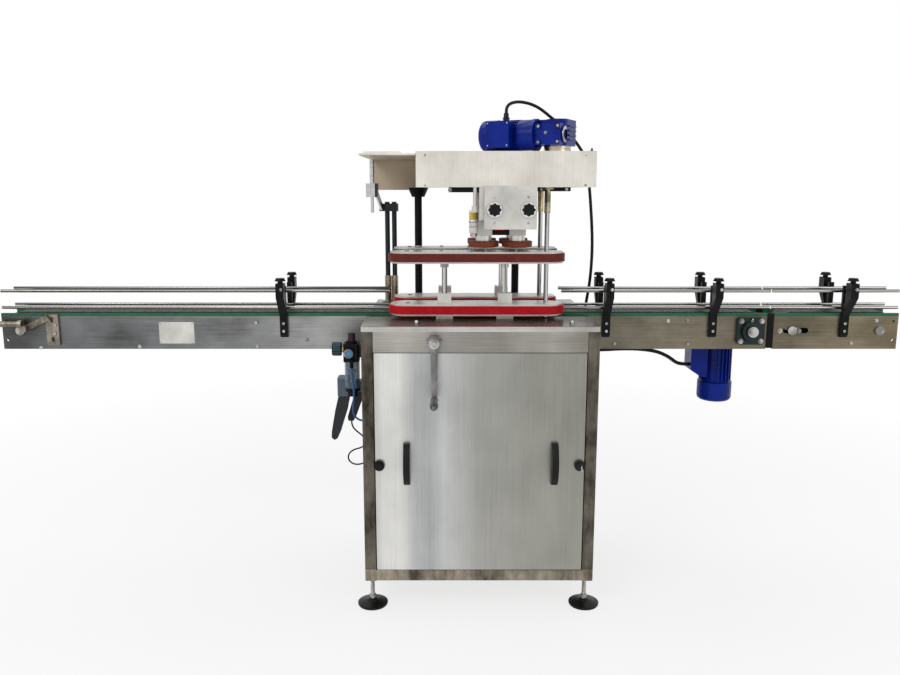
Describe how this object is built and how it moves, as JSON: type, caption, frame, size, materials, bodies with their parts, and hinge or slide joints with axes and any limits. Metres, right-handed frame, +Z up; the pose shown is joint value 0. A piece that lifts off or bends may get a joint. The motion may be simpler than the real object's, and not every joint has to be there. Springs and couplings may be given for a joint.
{
  "type": "linear screw capping machine",
  "caption": "Cap tightening machine for bottles that pass on a slat conveyor, with side grip belts, four spindle discs and a head that a crank raises.",
  "frame": {"origin": "on the floor, at the middle of the machine seen from above", "axes": "+X along the conveyor, towards the outfeed, +Y from the operator to the back, +Z up"},
  "size_m": [2.82, 0.73, 1.5554],
  "materials": {
    "satin_stainless": "satin stainless sheet",
    "white_sheet": "pale satin stainless sheet",
    "black_parts": "black finish, low gloss",
    "black_plastic": "black moulded plastic",
    "machined_steel": "ground and polished steel",
    "aluminium_parts": "machined aluminium",
    "brass_bushes": "turned brass",
    "blue_enamel": "cobalt blue enamel, glossy",
    "green_enamel": "dark green enamel",
    "green_strip": "green sliding plastic",
    "grey_chain": "dark grey moulded slats",
    "red_belt": "red soft facing",
    "brown_belt": "red-brown soft facing",
    "black_cable": "black cable sheath",
    "blue_hose": "blue air tube",
    "clear_bowl": "clear bowl with a blue tint",
    "maroon_knob": "dark maroon plastic",
    "grey_plastic": "blue-grey plastic"
  },
  "bodies": {
    "base": {"air_bowl": "clear_bowl", "air_hose": "blue_hose", "air_unit": "black_parts", "arm_posts": "black_parts", "brown_belts": "brown_belt", "cabinet_frame": "satin_stainless", "cabinet_panels": "satin_stainless", "column_guides": "black_parts", "conveyor_conduit": "black_cable", "conveyor_gearmotor": "blue_enamel", "conveyor_sides": "satin_stainless", "conveyor_spacers": "satin_stainless", "end_bracket": "black_parts", "flange_bearing": "green_enamel", "foot_pads": "black_plastic", "foot_studs": "black_parts", "grip_blocks": "aluminium_parts", "grip_plates": "aluminium_parts", "grip_posts": "machined_steel", "guide_rails": "machined_steel", "idler_shafts": "machined_steel", "rail_brackets": "black_parts", "red_belts": "red_belt", "sensor_arm": "black_parts", "side_cable": "black_cable", "side_fittings": "grey_plastic", "slat_chains": "grey_chain", "table_plates": "satin_stainless", "wear_strips": "green_strip"},
    "head": {"head_housing": "white_sheet", "head_gearbox": "blue_enamel", "head_motor": "blue_enamel", "knob_panel": "aluminium_parts", "drive_bushes": "brass_bushes", "columns": "black_parts", "column_collars": "black_parts", "lift_yoke": "machined_steel", "head_cable": "black_cable"},
    "crank": {"crank_arm": "black_parts", "crank_shaft": "machined_steel"},
    "door": {"door": "satin_stainless", "door_handles": "black_plastic"},
    "crank_grip": {"crank_grip": "black_plastic"},
    "lift_screw": {"lift_screw": "machined_steel"},
    "lock_knob_left": {"lock_knob_left": "black_plastic"},
    "lock_knob_right": {"lock_knob_right": "black_plastic"},
    "conveyor_shaft": {"conveyor_shaft": "machined_steel"},
    "front_carriage": {"front_carriage": "aluminium_parts"},
    "rear_carriage": {"rear_carriage": "aluminium_parts"},
    "knob_1": {"knob_1": "black_plastic"},
    "knob_2": {"knob_2": "black_plastic"},
    "spindle_1_front": {"spindle_1_front": "machined_steel"},
    "spindle_2_front": {"spindle_2_front": "machined_steel"},
    "spindle_1_rear": {"spindle_1_rear": "machined_steel"},
    "spindle_2_rear": {"spindle_2_rear": "machined_steel"},
    "front_drive_shaft": {"front_drive_shaft": "machined_steel"},
    "rear_drive_shaft": {"rear_drive_shaft": "machined_steel"},
    "front_idler": {"front_idler": "machined_steel"},
    "rear_idler": {"rear_idler": "machined_steel"},
    "regulator_knob": {"regulator_knob": "maroon_knob"}
  },
  "joints": [
    {"name": "head_lift", "type": "slide", "parent": "base", "child": "head", "axis": [0, 0, 1], "range_m": [0, 0.08], "deforming": ["head_cable"]},
    {"name": "crank_turn", "type": "hinge", "parent": "base", "child": "crank", "pos_m": [-0.045, -0.235, 0.847], "axis": [0, 1, 0], "range_deg": [0, 2881]},
    {"name": "crank_grip_spin", "type": "hinge", "parent": "crank", "child": "crank_grip", "pos_m": [-0.045, -0.32, 0.682], "axis": [0, 1, 0], "continuous": true},
    {"name": "screw_turn", "type": "hinge", "parent": "base", "child": "lift_screw", "pos_m": [-0.045, -0.095, 0.7], "axis": [0, 0, 1], "range_deg": [-2881, 0]},
    {"name": "door_pull", "type": "slide", "parent": "base", "child": "door", "axis": [0, -1, 0], "range_m": [0, 0.03]},
    {"name": "lock_left_turn", "type": "hinge", "parent": "door", "child": "lock_knob_left", "pos_m": [-0.21, -0.235, 0.472], "axis": [0, 1, 0], "range_deg": [0, 90]},
    {"name": "lock_right_turn", "type": "hinge", "parent": "door", "child": "lock_knob_right", "pos_m": [0.385, -0.235, 0.472], "axis": [0, 1, 0], "range_deg": [0, 90]},
    {"name": "conveyor_drive", "type": "hinge", "parent": "base", "child": "conveyor_shaft", "pos_m": [0.944, 0.03, 0.842], "axis": [0, 1, 0], "continuous": true},
    {"name": "front_slide", "type": "slide", "parent": "head", "child": "front_carriage", "axis": [0, 1, 0], "range_m": [-0.01, 0.01]},
    {"name": "rear_slide", "type": "slide", "parent": "head", "child": "rear_carriage", "axis": [0, 1, 0], "range_m": [-0.01, 0.01]},
    {"name": "knob_1_turn", "type": "hinge", "parent": "head", "child": "knob_1", "pos_m": [0.13, -0.15, 1.221], "axis": [0, 1, 0], "range_deg": [-1201, 1201]},
    {"name": "knob_2_turn", "type": "hinge", "parent": "head", "child": "knob_2", "pos_m": [0.229, -0.15, 1.221], "axis": [0, 1, 0], "range_deg": [-1201, 1201]},
    {"name": "spindle_1_front_spin", "type": "hinge", "parent": "front_carriage", "child": "spindle_1_front", "pos_m": [0.103, -0.045, 1.15], "axis": [0, 0, 1], "continuous": true},
    {"name": "spindle_2_front_spin", "type": "hinge", "parent": "front_carriage", "child": "spindle_2_front", "pos_m": [0.205, -0.045, 1.15], "axis": [0, 0, 1], "continuous": true},
    {"name": "spindle_1_rear_spin", "type": "hinge", "parent": "rear_carriage", "child": "spindle_1_rear", "pos_m": [0.103, 0.105, 1.15], "axis": [0, 0, 1], "continuous": true},
    {"name": "spindle_2_rear_spin", "type": "hinge", "parent": "rear_carriage", "child": "spindle_2_rear", "pos_m": [0.205, 0.105, 1.15], "axis": [0, 0, 1], "continuous": true},
    {"name": "front_drive_spin", "type": "hinge", "parent": "base", "child": "front_drive_shaft", "pos_m": [0.294, -0.064, 1], "axis": [0, 0, 1], "continuous": true},
    {"name": "rear_drive_spin", "type": "hinge", "parent": "base", "child": "rear_drive_shaft", "pos_m": [0.294, 0.124, 1], "axis": [0, 0, 1], "continuous": true},
    {"name": "front_idler_spin", "type": "hinge", "parent": "base", "child": "front_idler", "pos_m": [-0.132, -0.064, 1], "axis": [0, 0, 1], "continuous": true},
    {"name": "rear_idler_spin", "type": "hinge", "parent": "base", "child": "rear_idler", "pos_m": [-0.132, 0.124, 1], "axis": [0, 0, 1], "continuous": true},
    {"name": "regulator_turn", "type": "hinge", "parent": "base", "child": "regulator_knob", "pos_m": [-0.295, -0.15, 0.84], "axis": [0, 0, 1], "range_deg": [-180, 180]}
  ],
  "couplings": [
    {"joint": "crank_turn", "follows": "head_lift", "rad_per_m": 628.32},
    {"joint": "screw_turn", "follows": "head_lift", "rad_per_m": -628.32},
    {"joint": "knob_1_turn", "follows": "front_slide", "rad_per_m": 2094.4},
    {"joint": "knob_2_turn", "follows": "rear_slide", "rad_per_m": 2094.4},
    {"joint": "spindle_2_front_spin", "follows": "spindle_1_front_spin", "ratio": 1},
    {"joint": "spindle_1_rear_spin", "follows": "spindle_1_front_spin", "ratio": -1},
    {"joint": "spindle_2_rear_spin", "follows": "spindle_1_front_spin", "ratio": -1},
    {"joint": "rear_drive_spin", "follows": "front_drive_spin", "ratio": -1},
    {"joint": "front_idler_spin", "follows": "front_drive_spin", "ratio": 1},
    {"joint": "rear_idler_spin", "follows": "front_drive_spin", "ratio": -1}
  ]
}
